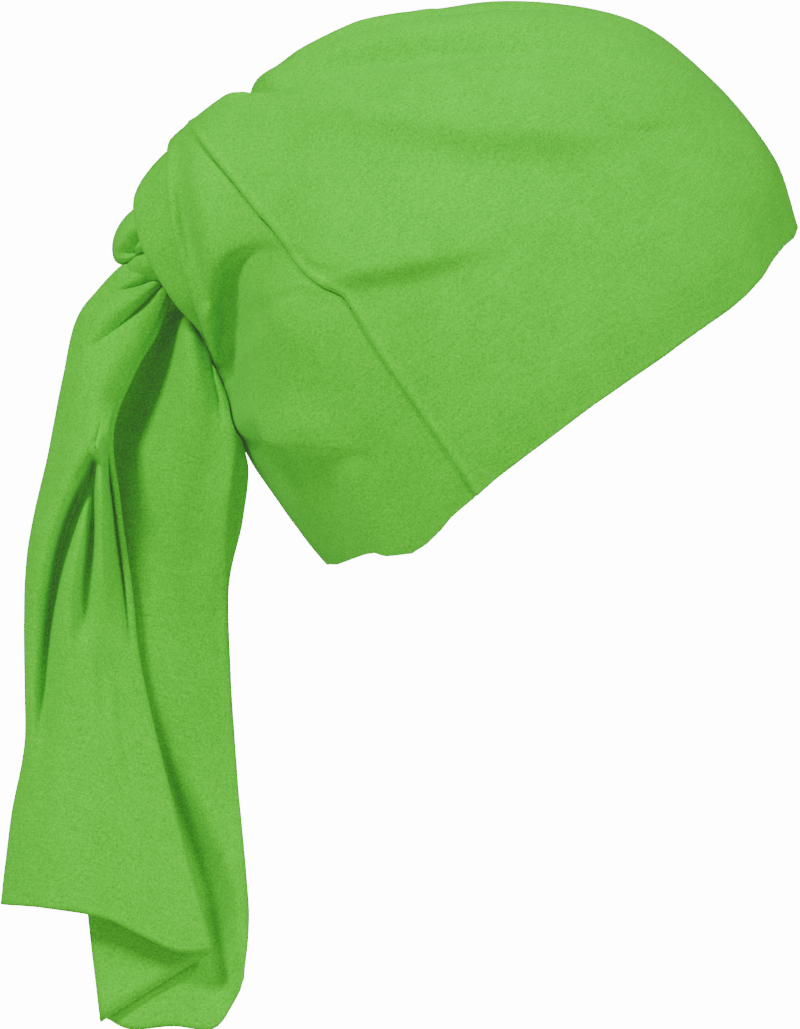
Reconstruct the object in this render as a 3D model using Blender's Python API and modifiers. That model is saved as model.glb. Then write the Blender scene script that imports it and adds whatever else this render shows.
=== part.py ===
"""A knitted tube bandana worn as a head wrap: a hollow crown, a knotted band with its core, a tail.

X points to the forehead, Y to the wearer's left and Z up. The origin is the middle of the head
opening, halfway between the forehead and the nape. The tables hold shares of the sizes below.
"""

import math
from typing import NamedTuple, Sequence

import bmesh
import bpy
import numpy as np
from mathutils import Matrix

# Sizes of the crown, in metres
CROWN_LENGTH = 0.221  # forehead to the knot
CROWN_HEIGHT = 0.188  # lowest point of the rim to the top of the head
CROWN_BREADTH = 0.158  # over the ears
CROWN_WALL = 0.0014
CROWN_FOLD = 0.010  # height that a full share of a crown fold stands for
CROWN_EGG = 0.10  # share of its breadth by which a ring is narrower at the top than at the back
FOLD_FADE = 0.15  # share of the breadth over which a side's folds fade out toward the middle

# Sizes of the tail, in metres
TAIL_WIDTH = 0.083
TAIL_DROP = 0.242  # from the middle of the knot to the lowest hem
TAIL_DEPTH = 0.040  # near face to far face
TAIL_WALL = 0.0014
TAIL_FOLD = 0.008  # depth that a full share of a tail fold stands for
TAIL_TURN = 0.0015  # radius of the cloth where it doubles back

# Sizes of the knotted band, in metres
BAND_BREADTH = 0.062  # across the ring, from right to left
BAND_THICKNESS = 0.0095
CORE_LENGTH = 0.031  # of the lump of gathered cloth inside the band
CORE_CLEARANCE = 0.003  # between the lump and the band on each side
CORE_BREADTH = BAND_BREADTH - 2 * BAND_THICKNESS - 2 * CORE_CLEARANCE
CORE_HEIGHT = 0.022

# The knot's middle, which the tail hangs from, as shares of the crown's length and height
KNOT_X = -0.561
KNOT_Z = 0.160

# How finely the surfaces are drawn
CROWN_AROUND = 60
CROWN_STEPS = (3, 3, 3, 3, 3, 2, 2, 2, 2, 2)
TAIL_STEPS = (3, 2, 2, 2, 3, 3, 3, 3, 3, 3)
BAND_STEPS = 4
BAND_SIDES = 10
FOLD_STEPS = (5, 5)
NEAR_FACE_POINTS = 3  # of the tail's ring points, those on its near face

GREEN = (0.190, 0.500, 0.075, 1.0)
CLOTH_ROUGHNESS = 0.9


class CrownSection(NamedTuple):
    """One oval of the crown, from the nape or the knot's underside to the top."""

    back_x: float
    back_z: float
    top_x: float
    top_z: float
    breadth: float
    hang: float  # how much of the rim line's hang it shares
    lean: float  # how far its sides lean back, as a share of the crown's length


CROWN_SECTIONS = (
    CrownSection(-0.357, -0.300, 0.354, 0.299, 0.95, 1.0, 0.000),
    CrownSection(-0.366, -0.286, 0.316, 0.427, 0.99, 0.8, 0.000),
    CrownSection(-0.381, -0.262, 0.218, 0.568, 1.00, 0.4, 0.000),
    CrownSection(-0.396, -0.238, 0.096, 0.670, 0.99, 0.1, 0.000),
    CrownSection(-0.413, -0.208, -0.089, 0.701, 0.95, 0.0, 0.000),
    CrownSection(-0.430, -0.174, -0.255, 0.665, 0.88, 0.0, 0.004),
    CrownSection(-0.446, -0.132, -0.400, 0.600, 0.75, 0.0, 0.012),
    CrownSection(-0.466, -0.097, -0.512, 0.524, 0.56, 0.0, 0.024),
    CrownSection(-0.475, -0.055, -0.582, 0.466, 0.40, 0.0, 0.024),
    CrownSection(-0.482, -0.010, -0.566, 0.434, 0.27, 0.0, 0.010),
    CrownSection(-0.480, 0.060, -0.510, 0.350, 0.12, 0.0, 0.000),
)


class RimPoint(NamedTuple):
    """How far the rim's side hangs below the line from the forehead to the nape."""

    along: float  # 0 at the forehead, 1 at the nape
    right: float
    left: float


RIM_LINE = (
    RimPoint(0.00, 0.000, 0.000),
    RimPoint(0.10, 0.034, 0.034),
    RimPoint(0.20, 0.043, 0.043),
    RimPoint(0.45, 0.044, 0.045),
    RimPoint(0.72, 0.043, 0.050),
    RimPoint(0.81, 0.066, 0.054),
    RimPoint(0.88, 0.064, 0.056),
    RimPoint(0.93, 0.030, 0.044),
    RimPoint(1.00, 0.000, 0.000),
)


class CrownFold(NamedTuple):
    """A ridge, or a valley where its height is negative, seen from the side."""

    side: int  # -1 the wearer's right, 1 the left
    start_x: float
    start_z: float
    middle_x: float
    middle_z: float
    end_x: float
    end_z: float
    width: float
    start_height: float
    end_height: float


CROWN_FOLDS = (
    # Pleats that run forward from the knot over the right side
    CrownFold(-1, -0.560, 0.490, -0.339, 0.516, -0.157, 0.470, 0.030, 0.45, 0.10),
    CrownFold(-1, -0.399, 0.440, -0.202, 0.445, 0.025, 0.438, 0.034, -0.16, -0.10),
    CrownFold(-1, -0.470, 0.330, -0.420, 0.340, -0.360, 0.320, 0.050, 0.35, 0.20),
    CrownFold(-1, -0.402, 0.238, -0.480, 0.215, -0.498, 0.019, 0.030, -0.50, -0.75),
    CrownFold(-1, -0.354, 0.215, -0.300, 0.225, -0.142, 0.250, 0.026, -0.28, -0.08),
    CrownFold(-1, -0.350, 0.150, -0.330, 0.060, -0.300, -0.060, 0.050, 0.25, 0.20),
    CrownFold(-1, -0.483, -0.040, -0.414, -0.060, -0.354, -0.090, 0.022, -0.35, -0.10),
    CrownFold(-1, -0.354, -0.090, -0.300, -0.170, -0.250, -0.270, 0.024, 0.25, 0.20),
    # Plainer pleats on the left side
    CrownFold(1, -0.560, 0.470, -0.360, 0.480, -0.180, 0.430, 0.034, 0.35, 0.10),
    CrownFold(1, -0.440, 0.330, -0.250, 0.350, -0.050, 0.350, 0.034, -0.25, -0.08),
    CrownFold(1, -0.470, 0.200, -0.330, 0.190, -0.160, 0.150, 0.036, -0.45, -0.10),
    CrownFold(1, -0.470, 0.060, -0.380, 0.010, -0.260, -0.100, 0.030, -0.35, -0.10),
)


class TailSection(NamedTuple):
    """Where one ring of the tail turns: its left fold, its two pleat folds and its right fold.

    x is a share of the tail's width and z of its drop, from the middle of the knot.
    """

    left_x: float
    left_z: float
    front_x: float
    front_z: float
    inner_x: float
    inner_z: float
    right_x: float
    right_z: float
    depth: float
    pleat: float  # how far the cloth doubles back, 0 where it lies open


TAIL_SECTIONS = (
    TailSection(-0.103, 0.038, -0.047, 0.005, 0.002, -0.024, 0.050, -0.056, 0.60, 0.7),
    TailSection(-0.257, 0.037, -0.060, -0.024, -0.140, -0.024, 0.096, -0.107, 0.80, 0.9),
    TailSection(-0.387, 0.014, -0.145, -0.040, -0.230, -0.052, 0.172, -0.147, 0.95, 1.0),
    TailSection(-0.460, -0.025, -0.233, -0.093, -0.318, -0.110, 0.202, -0.188, 1.05, 1.0),
    TailSection(-0.518, -0.096, -0.320, -0.175, -0.420, -0.190, 0.222, -0.232, 1.05, 1.0),
    TailSection(-0.582, -0.206, -0.306, -0.269, -0.440, -0.296, 0.195, -0.300, 1.00, 1.0),
    TailSection(-0.668, -0.338, -0.257, -0.386, -0.440, -0.407, 0.142, -0.385, 0.95, 1.0),
    TailSection(-0.684, -0.463, -0.213, -0.490, -0.430, -0.518, 0.148, -0.504, 0.90, 1.0),
    TailSection(-0.684, -0.601, -0.136, -0.615, -0.420, -0.657, 0.176, -0.650, 0.90, 1.0),
    TailSection(-0.736, -0.709, -0.038, -0.747, -0.420, -0.810, 0.232, -0.820, 0.95, 1.0),
    TailSection(-0.775, -0.827, 0.075, -0.893, -0.360, -0.987, 0.150, -0.974, 1.00, 1.0),
)


class RingPoint(NamedTuple):
    """A place on the tail's ring, between two of its folds."""

    start: str
    end: str
    share: float
    depth: float  # share of the ring's depth, negative toward the wearer's right
    sag: float  # how far below the line between the folds it hangs, as a share of the drop
    turn: int  # 1 or -1 beside a tight fold, where the cloth doubles back
    steps: int


RING = (
    RingPoint("left", "front", 0.00, -0.05, 0.000, 0, 3),
    RingPoint("left", "front", 0.20, -0.42, -0.006, 0, 4),
    RingPoint("left", "front", 0.60, -0.50, -0.009, 0, 4),
    RingPoint("left", "front", 1.00, -0.36, 0.000, -1, 1),
    RingPoint("left", "front", 1.00, -0.36, 0.000, 0, 1),
    RingPoint("front", "inner", 0.00, -0.36, 0.000, 1, 3),
    RingPoint("front", "inner", 0.50, -0.23, 0.000, 0, 3),
    RingPoint("front", "inner", 1.00, -0.14, 0.000, -1, 1),
    RingPoint("front", "inner", 1.00, -0.14, 0.000, 0, 1),
    RingPoint("inner", "right", 0.00, -0.14, 0.000, 1, 4),
    RingPoint("inner", "right", 0.55, -0.06, 0.010, 0, 4),
    RingPoint("inner", "right", 1.00, 0.05, 0.000, 0, 3),
    RingPoint("right", "left", 0.25, 0.42, -0.020, 0, 4),
    RingPoint("right", "left", 0.65, 0.46, -0.045, 0, 4),
)


class TailFold(NamedTuple):
    """A valley pressed into the tail's near face, or a ridge where its depth is negative."""

    start_x: float
    start_z: float
    middle_x: float
    middle_z: float
    end_x: float
    end_z: float
    width: float
    start_depth: float
    end_depth: float


TAIL_FOLDS = (
    TailFold(-0.400, -0.211, -0.520, -0.290, -0.640, -0.480, 0.050, 0.60, 0.35),
    TailFold(-0.395, -0.215, -0.400, -0.310, -0.440, -0.390, 0.034, 0.45, 0.10),
    TailFold(-0.110, 0.044, -0.200, 0.020, -0.380, 0.010, 0.026, 0.40, 0.10),
    TailFold(-0.110, 0.040, -0.240, -0.010, -0.360, -0.060, 0.026, 0.45, 0.10),
    TailFold(-0.560, -0.620, -0.560, -0.740, -0.570, -0.860, 0.080, 0.10, 0.30),
)


class BandPoint(NamedTuple):
    """The two edges of the band that goes round the tail's root, on its near half."""

    rear_x: float
    rear_z: float
    front_x: float
    front_z: float
    side: float  # share of half the band's breadth
    thickness: float


BAND_POINTS = (
    BandPoint(-0.653, 0.360, -0.600, 0.445, 0.00, 0.90),
    BandPoint(-0.650, 0.322, -0.594, 0.392, 0.62, 1.00),
    BandPoint(-0.632, 0.250, -0.583, 0.295, 1.00, 1.00),
    BandPoint(-0.590, 0.168, -0.558, 0.190, 1.00, 0.85),
    BandPoint(-0.551, 0.112, -0.534, 0.129, 0.64, 0.65),
    BandPoint(-0.526, 0.050, -0.512, 0.062, 0.00, 0.50),
)

# The middle of the lump inside the band, as shares of the crown's length and height
CORE_X = -0.614
CORE_Z = 0.281
CORE_TILT = math.radians(-25)


def smooth_rows(rows: np.ndarray, steps: Sequence[int], closed: bool = False) -> np.ndarray:
    """Passes a smooth curve through the rows, with a number of steps after each.

    Args:
        rows: One row of values for each place on the curve.
        steps: How many steps follow each row.
        closed: Whether the curve comes back to its first row.

    Returns:
        The rows and those between them.
    """
    count = len(rows)
    spans = count if closed else count - 1
    found = []
    for index in range(spans):
        if closed:
            before, first, second, after = (rows[(index + k) % count] for k in (-1, 0, 1, 2))
        else:
            first, second = rows[index], rows[index + 1]
            before = rows[index - 1] if index else 2 * first - second
            after = rows[index + 2] if index + 2 < count else 2 * second - first
        for step in range(steps[index]):
            t = step / steps[index]
            found.append(
                0.5
                * (
                    2 * first
                    + (second - before) * t
                    + (2 * before - 5 * first + 4 * second - after) * t**2
                    + (3 * first - before - 3 * second + after) * t**3
                )
            )
    if not closed:
        found.append(rows[-1])
    return np.array(found)


def outward_normals(grid: np.ndarray) -> np.ndarray:
    """Finds the directions that face out of a grid of rings.

    Args:
        grid: Rings of points, by row and by place on the ring.

    Returns:
        One unit vector for each point.
    """
    along = np.gradient(grid, axis=0)
    around = np.roll(grid, -1, axis=1) - np.roll(grid, 1, axis=1)
    normals = np.cross(around, along)
    normals /= np.maximum(np.linalg.norm(normals, axis=2, keepdims=True), 1e-12)
    middles = grid.mean(axis=1, keepdims=True)
    outward = np.sum(normals * (grid - middles), axis=(1, 2)) >= 0
    return normals * np.where(outward, 1.0, -1.0)[:, None, None]


def distance_to_path(points: np.ndarray, path: np.ndarray) -> tuple[np.ndarray, np.ndarray]:
    """Measures how far points lie from a path in side view.

    Args:
        points: X and Z of each point.
        path: X and Z of the path's corners.

    Returns:
        The distance of each point, and how far along the path its nearest place is, from 0 to 1.
    """
    lengths = np.linalg.norm(np.diff(path, axis=0), axis=1)
    starts = np.concatenate([[0.0], np.cumsum(lengths)])
    distance = np.full(points.shape[:-1], np.inf)
    share = np.zeros(points.shape[:-1])
    for index, length in enumerate(lengths):
        run = (path[index + 1] - path[index]) / length
        along = np.clip((points - path[index]) @ run, 0, length)
        away = np.linalg.norm(points - path[index] - along[..., None] * run, axis=-1)
        nearer = away < distance
        distance = np.where(nearer, away, distance)
        share = np.where(nearer, (starts[index] + along) / starts[-1], share)
    return distance, share


def fold_path(fold: CrownFold | TailFold, length: float, height: float) -> np.ndarray:
    """Draws a fold's smooth path in side view from the shares in its row.

    Args:
        fold: The row of the table.
        length: The size that a share in x stands for.
        height: The size that a share in z stands for.

    Returns:
        X and Z of the path's points.
    """
    corners = np.array(
        [
            (fold.start_x, fold.start_z),
            (fold.middle_x, fold.middle_z),
            (fold.end_x, fold.end_z),
        ]
    )
    return smooth_rows(corners * (length, height), FOLD_STEPS)


def crown_grid() -> np.ndarray:
    """Works out the middle surface of the crown's cloth.

    Returns:
        Rings of points from the rim to the end that closes behind the band.
    """
    sections = np.array(CROWN_SECTIONS)
    rows = smooth_rows(sections, CROWN_STEPS)
    angles = np.linspace(0, 2 * math.pi, CROWN_AROUND, endpoint=False)
    toward_top, toward_left = np.cos(angles), np.sin(angles)
    rim = np.array(RIM_LINE)
    along = (1 - toward_top) / 2
    hang = np.where(
        toward_left < 0,
        np.interp(along, rim[:, 0], rim[:, 1]),
        np.interp(along, rim[:, 0], rim[:, 2]),
    )
    grid = np.empty((len(rows), CROWN_AROUND, 3))
    for ring, (back_x, back_z, top_x, top_z, breadth, share, lean) in zip(grid, rows):
        back = np.array([back_x * CROWN_LENGTH, back_z * CROWN_HEIGHT])
        top = np.array([top_x * CROWN_LENGTH, top_z * CROWN_HEIGHT])
        chord = top - back
        across = np.array([chord[1], -chord[0]]) / np.linalg.norm(chord)
        side = back + chord * (1 - along)[:, None]
        forward = hang * share - lean * toward_left**2
        side = side + across * (forward * CROWN_LENGTH)[:, None]
        ring[:, 0] = side[:, 0]
        ring[:, 1] = toward_left * (1 - CROWN_EGG * toward_top) * breadth * CROWN_BREADTH / 2
        ring[:, 2] = side[:, 1]
    normals = outward_normals(grid)
    rise = np.zeros(grid.shape[:2])
    for fold in CROWN_FOLDS:
        path = fold_path(fold, CROWN_LENGTH, CROWN_HEIGHT)
        away, share = distance_to_path(grid[:, :, [0, 2]], path)
        height = fold.start_height + (fold.end_height - fold.start_height) * share
        sideways = np.clip(fold.side * grid[:, :, 1] / (FOLD_FADE * CROWN_BREADTH), 0, 1)
        rise += height * sideways * np.exp(-((away / (fold.width * CROWN_LENGTH)) ** 2))
    return grid + normals * rise[:, :, None] * CROWN_FOLD


def tail_grid() -> np.ndarray:
    """Works out the middle surface of the tail's cloth.

    Returns:
        Rings of points from the knot down to the hem.
    """
    sections = np.array(TAIL_SECTIONS)
    rows = smooth_rows(sections, TAIL_STEPS)
    steps = [point.steps for point in RING]
    knot = np.array([KNOT_X * CROWN_LENGTH, 0.0, KNOT_Z * CROWN_HEIGHT])
    rings = []
    for values in rows:
        row = TailSection(*values)
        corners = []
        for point in RING:
            start = np.array([getattr(row, f"{point.start}_x"), getattr(row, f"{point.start}_z")])
            end = np.array([getattr(row, f"{point.end}_x"), getattr(row, f"{point.end}_z")])
            x, z = (start + (end - start) * point.share) * (TAIL_WIDTH, TAIL_DROP)
            y = point.depth * row.depth * TAIL_DEPTH
            if point.turn:
                run = (end - start) * (TAIL_WIDTH, TAIL_DROP)
                turn = point.turn * row.pleat * TAIL_TURN
                x, z = (x, z) + run / np.linalg.norm(run) * turn
                y += turn
            corners.append((x, y, z - point.sag * TAIL_DROP))
        rings.append(smooth_rows(np.array(corners), steps, closed=True))
    grid = np.array(rings)
    near = sum(steps[:NEAR_FACE_POINTS])
    press = np.zeros(grid.shape[:2])
    for fold in TAIL_FOLDS:
        path = fold_path(fold, TAIL_WIDTH, TAIL_DROP)
        away, share = distance_to_path(grid[:, :, [0, 2]], path)
        depth = fold.start_depth + (fold.end_depth - fold.start_depth) * share
        press += depth * np.exp(-((away / (fold.width * TAIL_WIDTH)) ** 2))
    places = np.arange(grid.shape[1])
    on_near_face = np.where(places < near, np.sin(np.pi * np.clip(places / near, 0, 1)), 0.0)
    grid[:, :, 1] += press * on_near_face * TAIL_FOLD
    return grid + knot


def band_rings() -> np.ndarray:
    """Works out the cross-sections of the band that goes round the tail's root.

    Returns:
        Closed cross-sections along a closed ring.
    """
    near = np.array(BAND_POINTS) * (1, 1, 1, 1, -1, 1)
    far = near[-2:0:-1] * (1, 1, 1, 1, -1, 1)
    path = smooth_rows(np.concatenate([near, far]), [BAND_STEPS] * (len(near) * 2 - 2), True)
    size = np.array([CROWN_LENGTH, CROWN_HEIGHT])
    rear, front = path[:, 0:2] * size, path[:, 2:4] * size
    side = path[:, 4] * (BAND_BREADTH - BAND_THICKNESS) / 2
    middles = np.stack([*((rear + front) / 2).T, side], axis=1)[:, [0, 2, 1]]
    across = np.stack([*((front - rear) / 2).T, np.zeros(len(path))], axis=1)[:, [0, 2, 1]]
    tangents = np.roll(middles, -1, axis=0) - np.roll(middles, 1, axis=0)
    outward = np.cross(tangents, across)
    outward /= np.linalg.norm(outward, axis=1, keepdims=True)
    angles = np.linspace(0, 2 * math.pi, BAND_SIDES, endpoint=False)
    thick = (path[:, 5] * BAND_THICKNESS / 2)[:, None, None] * outward[:, None, :]
    return (
        middles[:, None, :]
        + np.cos(angles)[None, :, None] * across[:, None, :]
        + np.sin(angles)[None, :, None] * thick
    )


def mesh_of(name: str, grid: np.ndarray, joined: bool, cap: bool) -> bpy.types.Mesh:
    """Makes a mesh from rings of points.

    Args:
        name: The mesh's name.
        grid: Rings of points, by row and by place on the ring.
        joined: Whether the last ring meets the first.
        cap: Whether the last ring is closed by a fan of triangles.

    Returns:
        The mesh, shaded smooth.
    """
    rows, around = grid.shape[:2]
    points = [tuple(point) for point in grid.reshape(-1, 3)]
    faces = []
    for row in range(rows if joined else rows - 1):
        for place in range(around):
            corner = row * around + place
            beside = row * around + (place + 1) % around
            after = ((row + 1) % rows) * around
            faces.append((corner, beside, after + (place + 1) % around, after + place))
    if cap:
        points.append(tuple(grid[-1].mean(axis=0)))
        last = (rows - 1) * around
        faces += [
            (last + place, last + (place + 1) % around, rows * around) for place in range(around)
        ]
    mesh = bpy.data.meshes.new(name)
    mesh.from_pydata(points, [], faces)
    mesh.validate()
    mesh.shade_smooth()
    return mesh


def knitted_green() -> bpy.types.Material:
    """Makes the material of the knitted cloth.

    Returns:
        The material.
    """
    material = bpy.data.materials.new("green_knit")
    material.use_nodes = True
    shader = material.node_tree.nodes["Principled BSDF"]
    shader.inputs["Base Color"].default_value = GREEN
    shader.inputs["Roughness"].default_value = CLOTH_ROUGHNESS
    shader.inputs["Metallic"].default_value = 0.0
    return material


def add_piece(
    collection: bpy.types.Collection,
    name: str,
    mesh: bpy.types.Mesh,
    material: bpy.types.Material,
    wall: float = 0.0,
) -> bpy.types.Object:
    """Adds a piece to the collection, and gives an open surface its wall.

    Args:
        collection: Where the piece goes.
        name: The piece's name.
        mesh: Its surface.
        material: Its material.
        wall: The cloth's thickness, or nothing for a solid roll.

    Returns:
        The new object.
    """
    piece = bpy.data.objects.new(name, mesh)
    mesh.materials.append(material)
    collection.objects.link(piece)
    if wall:
        solidify = piece.modifiers.new("cloth wall", "SOLIDIFY")
        solidify.thickness = wall
        solidify.offset = 0.0
        solidify.use_even_offset = False
    return piece


def add_core(collection: bpy.types.Collection, material: bpy.types.Material) -> None:
    """Adds the lump of gathered cloth that fills the band, above the tail's root.

    Args:
        collection: Where the piece goes.
        material: Its material.
    """
    mesh = bpy.data.meshes.new("knot_core")
    shape = bmesh.new()
    bmesh.ops.create_uvsphere(shape, u_segments=16, v_segments=10, radius=0.5)
    size = Matrix.Diagonal((CORE_LENGTH, CORE_BREADTH, CORE_HEIGHT, 1.0))
    shape.transform(Matrix.Rotation(CORE_TILT, 4, "Y") @ size)
    shape.to_mesh(mesh)
    shape.free()
    mesh.shade_smooth()
    core = add_piece(collection, "knot_core", mesh, material)
    core.location = (CORE_X * CROWN_LENGTH, 0.0, CORE_Z * CROWN_HEIGHT)


def main() -> None:
    """Clears the scene and builds the bandana."""
    for obj in list(bpy.data.objects):
        bpy.data.objects.remove(obj, do_unlink=True)
    collection = bpy.data.collections.new("tube_bandana")
    bpy.context.scene.collection.children.link(collection)
    green = knitted_green()
    crown = mesh_of("crown", crown_grid(), joined=False, cap=True)
    add_piece(collection, "crown", crown, green, CROWN_WALL)
    tail = mesh_of("tail", tail_grid()[::-1], joined=False, cap=True)
    add_piece(collection, "tail", tail, green, TAIL_WALL)
    band = mesh_of("knot_band", band_rings(), joined=True, cap=False)
    add_piece(collection, "knot_band", band, green)
    add_core(collection, green)


if __name__ == "__main__":
    main()
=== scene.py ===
"""Dresses the tube bandana: the stretched crown, the band and lobes of its knot, and the tail.

Lengths are in metres, and a name that ends in mm holds millimetres. X points to the forehead, Y to
the wearer's left and Z up. A fold's path is drawn as the wrap is seen from its right side.
"""

import logging
import math
from dataclasses import dataclass, field
from enum import Enum
from typing import Any, NamedTuple, Sequence

import bpy
import numpy as np
from mathutils.bvhtree import BVHTree
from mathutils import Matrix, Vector


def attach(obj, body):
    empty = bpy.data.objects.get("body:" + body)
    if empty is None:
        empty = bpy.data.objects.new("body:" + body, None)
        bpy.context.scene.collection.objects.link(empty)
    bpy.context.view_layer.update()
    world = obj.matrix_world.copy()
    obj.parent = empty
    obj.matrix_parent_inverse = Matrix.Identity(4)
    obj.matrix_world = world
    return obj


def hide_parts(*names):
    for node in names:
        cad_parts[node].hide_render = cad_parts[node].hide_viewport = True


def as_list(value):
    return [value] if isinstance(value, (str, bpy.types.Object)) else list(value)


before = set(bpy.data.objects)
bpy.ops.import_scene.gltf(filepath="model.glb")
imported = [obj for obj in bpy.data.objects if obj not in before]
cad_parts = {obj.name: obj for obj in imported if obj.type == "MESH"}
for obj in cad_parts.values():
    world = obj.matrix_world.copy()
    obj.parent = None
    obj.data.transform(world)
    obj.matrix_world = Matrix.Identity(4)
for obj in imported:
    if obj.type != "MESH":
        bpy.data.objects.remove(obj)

log = logging.getLogger("tube_bandana")
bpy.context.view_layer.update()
BODY = "root"
SLOT = "green_knit"
MM = 0.001
LENGTH = 0.221  # of the stretched crown, from the forehead to the knot
HEIGHT = 0.188  # of the stretched crown, from the ear's hem to the top
CLEAR_REACH = 0.008  # metres within which cloth is moved out of a neighbour
PATH_STEPS = 5  # runs that a fold's path is drawn with after each of its corners
PATH_BLEND = 0.0025  # metres over which near runs of a fold share their height
CREST = 0.15  # how round a sharp fold's crest is, in widths
NORMAL_PASSES = 2  # times that a cloth's normals are evened out before it gets its thickness
Path = tuple[tuple[float, float], ...]


# Smooth curves and folds


def smooth_rows(rows: np.ndarray, steps: Sequence[int], closed: bool = False) -> np.ndarray:
    """Passes a smooth curve through rows of values, with a number of steps after each row.

    Args:
        rows: One row of values for each place on the curve.
        steps: How many steps follow each row.
        closed: Whether the curve comes back to its first row.

    Returns:
        The rows and those between them.
    """
    count = len(rows)
    found = []
    for index in range(count if closed else count - 1):
        if closed:
            before, first, second, after = (rows[(index + k) % count] for k in (-1, 0, 1, 2))
        else:
            first, second = rows[index], rows[index + 1]
            before = rows[index - 1] if index else 2 * first - second
            after = rows[index + 2] if index + 2 < count else 2 * second - first
        t = (np.arange(steps[index]) / steps[index])[:, None]
        found.append(
            0.5
            * (
                2 * first
                + (second - before) * t
                + (2 * before - 5 * first + 4 * second - after) * t**2
                + (3 * first - before - 3 * second + after) * t**3
            )
        )
    if not closed:
        found.append(rows[-1:])
    return np.concatenate(found)


class Shape(Enum):
    """How the cloth rises across a fold."""

    ROUND = "round"  # even on both sides
    SHARP = "sharp"  # even on both sides, with a narrow crest
    LIP = "lip"  # steep to the right of its path, slow to the left
    STEP = "step"  # flat to the right of its path, raised to the left


ROUND, SHARP, LIP, STEP = Shape


@dataclass(frozen=True)
class Fold:
    """A ridge in the cloth along a smooth path, or a valley where its heights are negative."""

    path: Path  # X and Z in millimetres
    heights: tuple[float, ...]  # millimetres, evenly spaced along the path
    widths: tuple[float, ...]  # millimetres
    shape: Shape = ROUND
    reach: float = 3.0  # widths that the slow side of a lip or step runs for

    def rise(self, points: np.ndarray) -> np.ndarray:
        """Works out how far the fold lifts the cloth.

        Args:
            points: X and Z of places on the cloth, in metres.

        Returns:
            The height at each place, in metres.
        """
        corners = np.array(self.path) * MM
        path = smooth_rows(corners, [PATH_STEPS] * (len(corners) - 1))
        away, share, left = distance_to_path(points, path)
        nearest = away.argmin(axis=0)[None]
        closest = np.take_along_axis(away, nearest, axis=0)[0]
        left = np.take_along_axis(left, nearest, axis=0)[0]
        weight = np.exp((closest - away) / PATH_BLEND)
        weight /= weight.sum(axis=0)
        height = self.spread(self.heights, share, weight)
        side = np.where(left, 1.0, -1.0) * closest / self.spread(self.widths, share, weight)
        slow = np.maximum(side, 0) / self.reach
        steep = np.minimum(side, 0)
        if self.shape is ROUND:
            profile = np.exp(-(side**2))
        elif self.shape is SHARP:
            profile = np.exp(CREST - np.sqrt(side**2 * 2 + CREST**2))
        elif self.shape is LIP:
            profile = np.exp(-(slow**2)) * np.exp(-(steep**2) * 2)
        else:
            profile = 0.5 * (1 + np.tanh(2 * side)) * np.exp(-(slow**2))
        return height * profile

    def spread(self, values: tuple[float, ...], share: np.ndarray, weight: np.ndarray) -> np.ndarray:
        """Averages evenly spaced values over the near runs of the path, in metres."""
        even = np.linspace(0, 1, len(values))
        return (np.interp(share, even, values) * weight).sum(axis=0) * MM


def distance_to_path(
    points: np.ndarray, path: np.ndarray
) -> tuple[np.ndarray, np.ndarray, np.ndarray]:
    """Measures how far points lie from each run of a path in side view.

    Args:
        points: X and Z of each point.
        path: X and Z of the path's corners.

    Returns:
        For each run, the distances, the shares of the path's length where it is nearest, and
        whether the points lie to its left.
    """
    lengths = np.linalg.norm(np.diff(path, axis=0), axis=1)
    starts = np.concatenate([[0.0], np.cumsum(lengths)])
    distances, shares, sides = [], [], []
    for index, length in enumerate(lengths):
        run = (path[index + 1] - path[index]) / length
        offset = points - path[index]
        along = np.clip(offset @ run, 0, length)
        distances.append(np.linalg.norm(offset - along[..., None] * run, axis=-1))
        shares.append((starts[index] + along) / starts[-1])
        sides.append(run[0] * offset[..., 1] - run[1] * offset[..., 0] > 0)
    return np.array(distances), np.array(shares), np.array(sides)


def total_rise(points: np.ndarray, folds: Sequence[Fold]) -> np.ndarray:
    """Adds up the rise of several folds at places in side view."""
    rise = np.zeros(points.shape[:-1])
    for fold in folds:
        rise += fold.rise(points)
    return rise


# Rings and shells


def raw_normals(grid: np.ndarray) -> np.ndarray:
    """Finds the unit direction that each face of a grid of rings turns to."""
    along = np.gradient(grid, axis=0)
    around = np.roll(grid, -1, axis=1) - np.roll(grid, 1, axis=1)
    normals = np.cross(around, along)
    return normals / np.maximum(np.linalg.norm(normals, axis=2, keepdims=True), 1e-12)


def facing_out(grid: np.ndarray) -> np.ndarray:
    """Turns the rings' order round where their faces would point inwards."""
    middles = grid.mean(axis=1, keepdims=True)
    outward = np.sum(raw_normals(grid) * (grid - middles)) >= 0
    return grid if outward else grid[:, ::-1]


def smoothed(values: np.ndarray, times: int) -> np.ndarray:
    """Evens out normals or heights over a grid of rings."""
    for _ in range(times):
        sideways = np.roll(values, 1, axis=1) + np.roll(values, -1, axis=1)
        padded = np.concatenate([values[:1], values, values[-1:]])
        values = (values * 4 + sideways + padded[:-2] + padded[2:]) / 8
    return values


def cloth_lengths(grid: np.ndarray) -> tuple[np.ndarray, np.ndarray]:
    """Measures how far round and along the tube each point lies, with one more column than the grid."""
    wrapped = np.concatenate([grid, grid[:, :1]], axis=1)
    around = np.linalg.norm(np.diff(wrapped, axis=1), axis=2)
    around = np.concatenate([np.zeros((len(grid), 1)), np.cumsum(around, axis=1)], axis=1)
    along = np.linalg.norm(np.diff(wrapped, axis=0), axis=2)
    along = np.concatenate([np.zeros((1, wrapped.shape[1])), np.cumsum(along, axis=0)])
    return around, along


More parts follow.
